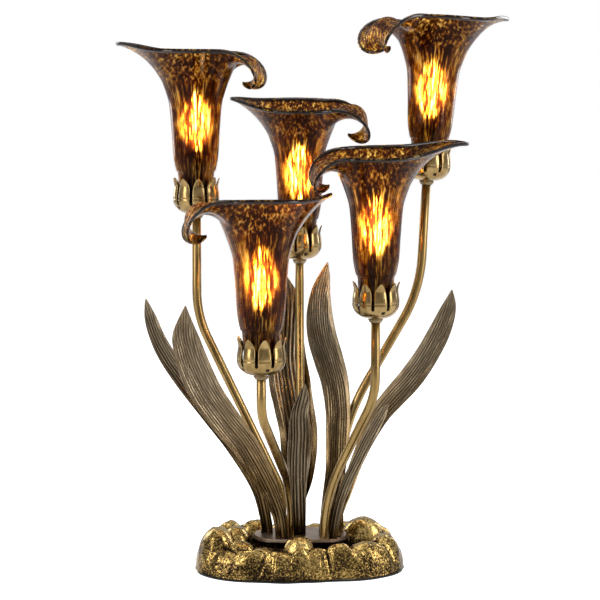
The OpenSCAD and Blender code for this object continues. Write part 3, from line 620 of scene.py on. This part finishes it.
def stem_path(i):
    """Middle line of a stem: a straight foot, a bend, a straight run and a second bend."""
    foot_l, low_r, high_r, lean, top_lean = stem_bends[i]
    run = math.dist(flower_at[i][:2], foot_at[i])
    stem_top = cup_wall - cup_depth + stem_in_cup
    end = (run + stem_top * sind(top_lean), flower_at[i][2] + stem_top * cosd(top_lean))
    out = (low_r * (1 - cosd(lean)), stem_low + foot_l + low_r * sind(lean))
    p = end[0] - out[0] - high_r * (cosd(top_lean) - cosd(lean))
    q = end[1] - out[1] - high_r * (sind(lean) - sind(top_lean))
    free = (p * cosd(top_lean) - q * sind(top_lean)) / sind(lean - top_lean)
    second = (out[0] + free * sind(lean), out[1] + free * cosd(lean))
    path = [(0, stem_low)]
    for k in range(bend_steps + 1):
        a = lean * k / bend_steps
        path.append((low_r * (1 - cosd(a)), stem_low + foot_l + low_r * sind(a)))
    for k in range(bend_steps + 1):
        a = lean + (top_lean - lean) * k / bend_steps
        path.append((second[0] + high_r * (cosd(a) - cosd(lean)),
                     second[1] + high_r * (sind(lean) - sind(a))))
    path.append(end)
    x, y = math.cos(heading(i)), math.sin(heading(i))
    return [Vector((foot_at[i][0] + r * x, foot_at[i][1] + r * y, z)) for r, z in path]


for i in FLOWERS:
    across = Vector((-math.sin(heading(i)), math.cos(heading(i)), 0))
    verts, faces = tube(stem_path(i), stem_r, stem_r - stem_wall, stem_sides, across)
    make(f"stem_tube_{i + 1}", verts, faces, satin_brass, replaced=(f"stem_{i + 1}",))

# Collars: radius, and height over the collar's foot
collar_drop, collar_sides = 4.5, 48
collar_line = [(4.85, 0), (6.1, 0), (6.4, 0.5), (6.7, 1.4), (7.5, 2.3), (7.75, 2.8), (7.75, 3.2),
               (7.3, 3.5), (7.3, 3.8), (7.75, 4.1), (7.75, 4.5), (4.85, 4.5), (4.85, 0)]
for i in FLOWERS:
    foot = -cup_depth - collar_drop
    verts, faces = lathe([(r, foot + z) for r, z in collar_line], collar_sides, flower_matrix(i))
    make(f"cup_collar_{i + 1}", verts, [f[::-1] for f in faces], collar_brass,
         replaced=(f"collar_{i + 1}",))

# Cups: the bowl in steps of 15 degrees, then the petals
cup_profile = [(cup_foot_r + (cup_r - cup_foot_r) * sind(15 * k), -cup_depth * cosd(15 * k))
               for k in range(7)]
bowl_rows = len(cup_profile) - 1
cup_profile += [(cup_r - 0.3, petal_h * 0.28), (22.7, petal_h * 0.6), (23.62, petal_h * 0.82),
                (25, petal_h)]
slot_half, slot_low, slot_high = 1.65, -5, 10
arch = [(slot_high, 1.65), (14.4, 2.8), (18.25, 5.1), (21, 7.7)]
cup_bore, vents, vent_ring, vent_z, vent_r = 4.9, 5, 21, -9, 2.1
# The petals' bulge from its low end, their tips that roll out, and the waist under them
petal_bulge, bulge_from, bulge_over, roll_from, roll_over = 0.5, -2, 8, 16, 5
waist_depth, waist_half = 0.25, 0.7
cup_rows = [-15.5, -15.2, -14.6, -13.8, -12.8, -11.8, -11, -10.4, -9.8, -9.2, -8.6, -8, -7.4,
            -6.9, -6.65, -6.5, -6.2, -5.7, -5, -4, -3, -2, -1.2, -0.6, 0, 0.5, 1.2, 2.4, 4, 6, 8,
            10, 11, 12, 13, 14, 15, 16, 17, 18, 19, 19.8, 20.4, 21]
petal_columns = 12
# Slack for a height that falls on the end of a step
near = 1e-6


def cup_radius(z):
    """Outer radius of the cup at a height over its widest ring."""
    if z <= 0:
        a = math.acos(max(-1, min(1, -z / cup_depth)))
        return cup_foot_r + (cup_r - cup_foot_r) * math.sin(a)
    upper = cup_profile[bowl_rows:]
    k = next(k for k in range(len(upper) - 1) if z <= upper[k + 1][1] + near)
    return spline(upper, k + (z - upper[k][1]) / (upper[k + 1][1] - upper[k][1]))[0]


def gap_half(z):
    """Half the width of the gap between two petals."""
    if z < slot_low:
        return math.sqrt(max(0, slot_half ** 2 - (z - slot_low) ** 2))
    if z <= slot_high:
        return slot_half
    k = next(k for k in range(len(arch) - 1) if z <= arch[k + 1][0] + near)
    return spline(arch, k + (z - arch[k][0]) / (arch[k + 1][0] - arch[k][0]))[1]


def petal_point(z, u, a):
    """A point at height z and angle a; u runs from -1 to 1 over the width of its petal."""
    rise = share(z, bulge_from, bulge_over)
    bulge = petal_bulge * (1 - u * u) * rise * max(0.0, 1 - max(0.0, z - roll_from) / roll_over)
    dent = -waist_depth * math.exp(-(z / waist_half) ** 2)
    q = cup_radius(z) + bulge - petal_bulge * rise + dent
    return q * cosd(a), q * sind(a), z


def make_cup(i):
    verts, faces, index = [], [], {}
    columns = [2 * c / petal_columns - 1 for c in range(petal_columns + 1)]
    vent_at = [Vector((vent_ring * cosd(a), vent_ring * sind(a), vent_z))
               for a in (360 / vents * k for k in range(vents))]

    def vertex(p):
        key = tuple(round(c, 2) for c in p)
        if key not in index:
            index[key] = len(verts)
            verts.append(p)
        return index[key]

    for petal in range(petals):
        middle = petal * 360 / petals
        reach = 180 / petals
        turns = [middle + reach * u for u in columns]
        rows = [[vertex((cup_bore * cosd(a), cup_bore * sind(a), -cup_depth)) for a in turns]]
        for z in cup_rows:
            half = reach - math.degrees(math.asin(gap_half(z) / cup_radius(z)))
            rows.append([vertex(petal_point(z, u, middle + half * u)) for u in columns])
        for a, b in zip(rows, rows[1:]):
            for c in range(petal_columns):
                face = (a[c], a[c + 1], b[c + 1], b[c])
                centre = sum((Vector(verts[k]) for k in face), Vector()) / 4
                hole = any((centre - at).length < vent_r for at in vent_at)
                if not hole and len(set(face)) == 4:
                    faces.append(face)
    matrix = flower_matrix(i)
    piece = make(f"lily_cup_{i + 1}", [matrix @ Vector(v) for v in verts], faces, cup_brass,
                 replaced=(f"cup_{i + 1}",), closed=False)
    shell = piece.modifiers.new("wall", "SOLIDIFY")
    shell.thickness = cup_wall * MM
    shell.offset = -1
    shell.use_even_offset = False


for i in FLOWERS:
    make_cup(i)

# Bulbs: radius and height; the four filament sticks lie behind the brightest strips
bulb_low, bulb_l, bulb_sides, bulb_steps, sticks, bulb_fit = 48.9, 62, 48, 4, 4, 0.02
bulb_line = [(5.25, 0), (5.5, 2.5), (6.9, 6), (9.3, 11), (11.7, 17), (13.1, 22), (13.5, 26),
             (13.4, 31), (12.7, 37), (11, 43.5), (8.7, 49.5), (6, 54.5), (3.8, 58), (1.9, 60.5),
             (0.8, 61.6), (0.05, 62)]
for i in FLOWERS:
    matrix = flower_matrix(i) @ Matrix.Translation((0, 0, bulb_low))
    last = len(bulb_line) - 1
    profile = [spline(bulb_line, s / bulb_steps) for s in range(bulb_steps * last + 1)]
    inside = [(max(bulb_fit, r - bulb_fit), min(z, bulb_l)) for r, z in profile]
    verts, faces = lathe(inside, bulb_sides, matrix)
    by_stick = [0.5 + 0.5 * cosd(sticks * 360 / bulb_sides * k) for k in range(bulb_sides)]
    make(f"lit_bulb_{i + 1}", verts, faces, glow, f"bulb_{i + 1}",
         replaced=(f"bulb_glass_{i + 1}",),
         attribute=[(z / bulb_l, lit, 0) for r, z in profile for lit in by_stick])

# Leaves: points of each middle line from the tip to the foot, with half the width there
leaf_rows = [
    [(-161, 34, 243, 0.6), (-156, 33, 224, 6.5), (-148, 31, 202, 8.5), (-137, 29, 182, 9.6),
     (-119, 25, 157, 10), (-94, 18, 126, 9.8), (-66, 11, 90, 9), (-43, 7, 49, 7),
     (-34, 6, 14, 6), (-33, 6, 0, 6.2)],
    [(-115, -28, 243, 0.6), (-116, -27, 217, 12), (-113, -26, 200, 15), (-106, -24, 178, 16.5),
     (-94, -21, 152, 16.5), (-75, -18, 124, 15.5), (-54, -15, 96, 13.5), (-34, -15, 60, 10.5),
     (-20, -18, 26, 7.5), (-17, -18, 0, 6.5)],
    [(-16, 108, 263, 0.6), (-11, 106, 236, 11), (-12, 99, 204, 16), (-13, 88, 174, 20.5),
     (-10, 76, 147, 22.5), (-6, 67, 126, 21.5), (-1, 57, 100, 20.5), (0, 46, 74, 19),
     (0, 36, 50, 14.5), (-2, 29, 27, 8.5), (-3, 24.5, 0, 6.5)],
    [(6, -46, 166, 0.6), (4, -45, 154, 6), (0, -43, 135, 9.5), (0, -40, 112, 12),
     (-1, -37, 87, 11.5), (-1, -34, 62, 8.5), (0, -28, 32, 7), (1, -20, 0, 6)],
    [(30, 32, 282, 0.6), (27, 32, 268, 6), (23, 31, 250, 10.5), (22, 29, 227, 14),
     (25, 26, 204, 15.6), (32, 22, 180, 15.6), (38, 17, 158, 14.5), (41, 10, 128, 13),
     (40, 4, 99, 12), (38, -1, 69, 10.5), (32, -3, 38, 8.2), (28, -3, 10, 7), (27, -3, 0, 7)],
    [(157, -4, 257, 0.6), (154, -4, 239, 7.5), (145, -5, 215, 11), (131, -6, 189, 12),
     (115, -7, 166, 12.5), (98, -8, 147, 11.8), (84, -9, 130, 10.5), (71, -11, 106, 8.2),
     (59, -12, 79, 6.6), (49, -13, 50, 5.8), (40, -12, 24, 5.2), (38, -11, 0, 5)],
    [(90, -42, 145, 0.8), (84, -41, 135, 4.8), (77, -39, 122, 5.7), (68, -36, 104, 6.4),
     (59, -33, 84, 6), (48, -29, 60, 5.5), (40, -25, 34, 4.4), (34, -21, 0, 4.2)]]
# Bearing of the face at the tip and at the foot, and how far its sides fold up there
leaf_face = [(250, 262, 0.12, 0.7), (280, 262, 0.1, 0.75), (272, 270, 0.08, 0.6),
             (285, 268, 0.6, 0.8), (250, 275, 0.08, 0.7), (262, 280, 0.1, 0.7),
             (262, 285, 0.3, 0.8)]
# Pitch and height of the ribs, and the part of the half width that they cover
leaf_ribs = [(2.6, 0.34, 0.8), (2.6, 0.36, 0.78), (4.3, 0.62, 0.72), (3.0, 0.4, 0.8),
             (2.4, 0.36, 0.74), (2.5, 0.36, 0.75), (2.4, 0.3, 0.7)]
# Leaves 2 and 6 take the lighter copy of the bronze, painted light for the light falling on them
lit_leaves = (1, 5)
leaf_t, leaf_across, leaf_along, least_half = 1.2, 72, 96, 0.4
fold_curve, fold_round, leaf_ahead = 1.5, 1.4, 0.2
rib_in, rib_out, rib_edge, rib_lift, valley_sharp = 0.12, 0.15, 0.06, 0.9, 1.5
dark_foot_from, dark_foot_over, dark_foot = 0.74, 0.26, 0.8


def make_leaf(i):
    table, (pitch, high, cover) = leaf_rows[i], leaf_ribs[i]
    tip_bearing, foot_bearing, tip_fold, foot_fold = leaf_face[i]
    last = len(table) - 1

    def at(s):
        x, y, z, half = spline(table, max(0, min(last, s)))
        return Vector((x, y, deck_top + z)), max(least_half, half)

    verts, flow = [], []
    travelled, before = 0.0, at(0)[0]
    for k in range(leaf_along + 1):
        f = k / leaf_along
        s = last * f
        p, half = at(s)
        travelled += (p - before).length
        before = p
        along = (at(s + leaf_ahead)[0] - at(s - leaf_ahead)[0]).normalized()
        bearing = tip_bearing + (foot_bearing - tip_bearing) * f
        across = Vector((cosd(bearing), sind(bearing), 0)).cross(along).normalized()
        out = along.cross(across).normalized()
        fold = half * (tip_fold + (foot_fold - tip_fold) * f ** fold_curve)
        fade = min(1.0, f / rib_in) * min(1.0, (1 - f) / rib_out)
        foot = max(0.0, (f - dark_foot_from) / dark_foot_over) * dark_foot
        for side in (0.5, -0.5):
            for c in range(leaf_across + 1):
                u = 2 * c / leaf_across - 1
                u = u if side > 0 else -u
                wave = math.cos(2 * math.pi * u * half / pitch)
                band = max(0.0, min(1.0, (cover - abs(u)) / rib_edge))
                rib = high * fade * band * (wave * 0.5 - 0.5)
                raised = fold * abs(u) ** fold_round + side * leaf_t + rib * rib_lift
                q = p + across * u * half + out * raised
                if k == leaf_along:
                    q.z = deck_top
                verts.append(q)
                # Painted shade down the valleys between the ribs, added to the darker foot
                valley_shade = fade * band * max(0.0, 0.5 - 0.5 * wave) ** valley_sharp
                flow.append((u * half, travelled, min(1.0, valley_shade + foot)))
    columns = 2 * (leaf_across + 1)
    faces = grid_faces(leaf_along + 1, columns, closed_columns=True)
    faces.append(tuple(range(columns))[::-1])
    faces.append(tuple(range(leaf_along * columns, (leaf_along + 1) * columns)))
    make(f"ribbed_leaf_{i + 1}", verts, faces, leaf_lit_copy if i in lit_leaves else leaf_dark,
         replaced=(f"leaf_{i + 1}",), attribute=flow)


for i in range(len(leaf_rows)):
    make_leaf(i)

# Casting: the oval, the plate's place, and the rocks as middle, top and half sizes
base_l, base_w, base_turn, oval_power, crevice_z = 221, 127, 4, 2.5, 23
oval_waves = [(1.2, 5, 40), (0.6, 11, 0)]
plate_l, plate_w, deck_margin, crest = 96, 50, 2.5, 0.83
rock_power, rock_round = 2.4, 0.55
rocks = [
    (-86, -14, 47, 19, 20), (-66, 6, 43, 15, 17), (-60, -30, 36, 15, 12), (-38, -38, 31, 11, 9),
    (0, -39, 44, 17, 14), (-80, -38, 29, 17, 15), (-50, -50, 31, 17, 13), (-21, -51, 30, 16, 11),
    (20, -50, 33, 15, 12), (41, -45, 37, 15, 15), (70, -36, 36, 22, 22), (89, -12, 39, 17, 20),
    (68, 22, 48, 24, 20), (96, 18, 36, 14, 20), (48, 46, 38, 20, 14), (16, 48, 34, 17, 12),
    (-16, 47, 37, 18, 13), (-48, 44, 40, 19, 15), (-78, 32, 43, 20, 19), (-98, 8, 34, 12, 18)]
wall_steps = [(0.83, 1), (0.905, 0.85), (0.955, 0.58), (0.985, 0.3), (1, 0)]
casting_sides, top_rows, wall_rows = 300, 44, 26
groove_half, groove_depth, low_band = 2.2, 1.6, 9
# How far the wall steps back below a low crest and below a groove
notch_low, notch_band, notch_groove, notch_curve, notch_dark = 5.5, 11, 4.5, 0.8, 6
lump_grain, lump_depth, lump_middle, lump_least, lump_most = 0.11, 1.5, 0.35, -1.0, 0.4
pit_grain, pit_depth, pit_shift = 0.45, 0.35, 50
push_in, push_down, foot_true = 0.35, 0.75, 0.01
low_dark, pit_dark, wall_dark, foot_darker = 0.8, 0.6, 0.2, 0.6
boss_y, boss_z = (44, 50, 58, 65.4, 66), 12.5
boss_r, boss_bore, boss_sides, boss_dark = 9.5, 5.5, 48, 0.3


def oval_reach(a):
    """How far the casting's foot reaches at angle a."""
    b = a - base_turn
    half_l, half_w = base_l / 2, base_w / 2
    reach = ((abs(cosd(b)) / half_l) ** oval_power
             + (abs(sind(b)) / half_w) ** oval_power) ** (-1 / oval_power)
    for size, count, shift in oval_waves:
        reach -= size * (1 + sind(count * a + shift))
    return reach


def stadium_reach(a):
    """How far the plate reaches at angle a."""
    half, r, c, s = (plate_l - plate_w) / 2, plate_w / 2, abs(cosd(a)), abs(sind(a))
    return r / s if r * c <= half * s else half * c + math.sqrt(r * r - (half * s) ** 2)


def rock_height(x, y):
    """Height of the rocks at a point, and the height of the next rock there."""
    best, second = 0.0, 0.0
    for cx, cy, top, half_l, half_w in rocks:
        d = (abs(x - cx) / half_l) ** rock_power + (abs(y - cy) / half_w) ** rock_power
        if d < 1:
            h = crevice_z + (top - crevice_z) * (1 - d) ** rock_round
            best, second = max(best, h), max(second, min(best, h))
    return best, second


def casting_line(a):
    """One section of the casting: radius, height, groove and darkness, deck to foot."""
    inner, outer = stadium_reach(a) + deck_margin, oval_reach(a)
    line = []
    for j in range(top_rows):
        r = inner + (outer * crest - inner) * (j / (top_rows - 1))
        h, other = rock_height(r * cosd(a) + base_at[0], r * sind(a) + base_at[1])
        z = deck_z if j == 0 else max(crevice_z, h)
        groove = math.exp(-((h - other) / groove_half) ** 2) if other > crevice_z else 0.0
        line.append((r, z, groove, 1 - min(1.0, max(0.0, (h - crevice_z) / low_band))))
    top_z = line[-1][1]
    # The wall steps back below each gap between two rocks
    behind = max(line[top_rows // 3:], key=lambda row: row[1])
    notch = (notch_low * max(0.0, 1 - (behind[1] - crevice_z) / notch_band)
             + notch_groove * behind[2])
    for j in range(1, wall_rows + 1):
        f, g = spline(wall_steps, (len(wall_steps) - 1) * j / wall_rows)
        step = notch * max(0.0, sind(180 * (j / wall_rows) ** notch_curve)) ** notch_curve
        r = outer * min(1.0, f) - step
        z = casting_z + (top_z - casting_z) * max(0.0, g)
        dark = wall_dark + foot_darker * j / wall_rows
        line.append((r, z, min(1.0, step / notch_dark), dark))
    return line


def make_casting():
    verts, flow = [], []
    rows = top_rows + wall_rows
    for k in range(casting_sides):
        a = 360 * k / casting_sides
        for j, (r, z, groove, low) in enumerate(casting_line(a)):
            x, y = r * cosd(a) + base_at[0], r * sind(a) + base_at[1]
            # The edges on the deck and at the foot stay true
            free = 0.0 if j == 0 or z <= casting_z + foot_true else 1.0
            lump = fbm((x, y, z), lump_grain, 4)
            pit = fbm((x + pit_shift, y, z), pit_grain, 3)
            push = free * (lump_depth * max(lump_least, min(lump_most, lump - lump_middle))
                           + pit_depth * min(0.0, pit) - groove_depth * groove)
            shrink = 1 + push_in * push / max(r, 1)
            verts.append(((x - base_at[0]) * shrink + base_at[0],
                          (y - base_at[1]) * shrink + base_at[1], z + push * push_down))
            dark = max(groove, low * low_dark, max(0.0, -pit) * pit_dark)
            flow.append((min(1.0, dark), 0, 0))
    faces = grid_faces(casting_sides, rows, closed_rows=True)
    faces.append(tuple(k * rows for k in range(casting_sides))[::-1])
    faces.append(tuple(k * rows + rows - 1 for k in range(casting_sides)))
    # Rings run from the deck outwards, so the faces are turned to look out
    make("rock_casting", verts, [f[::-1] for f in faces], gold_casting,
         replaced=("base_casting",), attribute=flow)
    path = [Vector((base_at[0], y, boss_z)) for y in boss_y]
    verts, faces = tube(path, boss_r, boss_bore, boss_sides)
    make("inlet_boss", verts, faces, gold_casting,
         attribute=[(boss_dark, 0, 0)] * len(verts))


make_casting()

# Room: white for the camera and through glass, dimmer for the light that falls on the lamp
scene = bpy.context.scene
scene.world = bpy.data.worlds.new("studio")
scene.world.use_nodes = True
room_low, room_high = (0.1, 0.095, 0.09), (0.3, 0.3, 0.31)
room = Tree(scene.world.node_tree)
up = room.separate(room.add("ShaderNodeTexCoord").outputs["Generated"])[2]
lit = room.ramp(up, [(0.0, room_low), (0.9, room_high)])
background = room.tree.nodes["Background"]
room.link(room.mix(room.background_share(), lit, (1, 1, 1)), background.inputs["Color"])
background.inputs["Strength"].default_value = 1.0

floor_reach, floor_light = 40, 0.75
paper_tones = ((0.95, 0.95, 0.95), (0.97, 0.97, 0.97))
paper = Look("white_floor")
paper_grain = paper.noise(paper.coords(), scale=3, detail=2)
paper.colour(paper.ramp(paper_grain, zip_stops(grain_stops, paper_tones)))
paper.set(Roughness=0.9, Emission_Color=(1, 1, 1, 1))
paper.link(paper.math("MULTIPLY", paper.background_share(), floor_light),
           paper.shader.inputs["Emission Strength"])
floor_mesh = bpy.data.meshes.new("studio_floor")
corners = [(x * floor_reach, y * floor_reach, 0) for x, y in ((-1, -1), (1, -1), (1, 1), (-1, 1))]
floor_mesh.from_pydata(corners, [], [(0, 1, 2, 3)])
floor_mesh.materials.append(paper.material)
floor = bpy.data.objects.new("studio_floor", floor_mesh)
scene.collection.objects.link(floor)

# Soft lights: place, height of the point they face, width and height, and power in watts
softboxes = {"left_box": ((-1.3, -0.9, 0.9), 0.3, (0.5, 1.5), 17),
             "right_box": ((1.4, -0.7, 0.8), 0.3, (0.45, 1.5), 18),
             "top_box": ((0.1, 0.1, 1.7), 0.2, (1.4, 1.0), 12),
             "back_left": ((-1.2, 1.2, 0.8), 0.3, (0.5, 1.1), 9),
             "back_right": ((1.2, 1.2, 0.8), 0.3, (0.5, 1.1), 9)}
for name, (place, aim_z, size, power) in softboxes.items():
    light = bpy.data.lights.new(name, "AREA")
    light.shape = "RECTANGLE"
    light.size, light.size_y = size
    light.energy = power
    box = bpy.data.objects.new(name, light)
    box.location = place
    box.rotation_mode = "QUATERNION"
    box.rotation_quaternion = (Vector((0, 0, aim_z)) - Vector(place)).to_track_quat("-Z", "Y")
    scene.collection.objects.link(box)

# The photograph's view: its focal length and width in pixels, and the camera's tilt
focal_px, frame_px, sensor, tilt_down = 1613, 600, 36, 6.5
camera_data = bpy.data.cameras.new("camera")
camera_data.sensor_width = sensor
camera_data.lens = sensor * focal_px / frame_px
camera = bpy.data.objects.new("camera", camera_data)
camera.location = (0.001, -1.65, 0.47)
camera.rotation_euler = (math.radians(90 - tilt_down), 0, 0)
scene.collection.objects.link(camera)
scene.camera = camera
scene.view_settings.view_transform = "Standard"
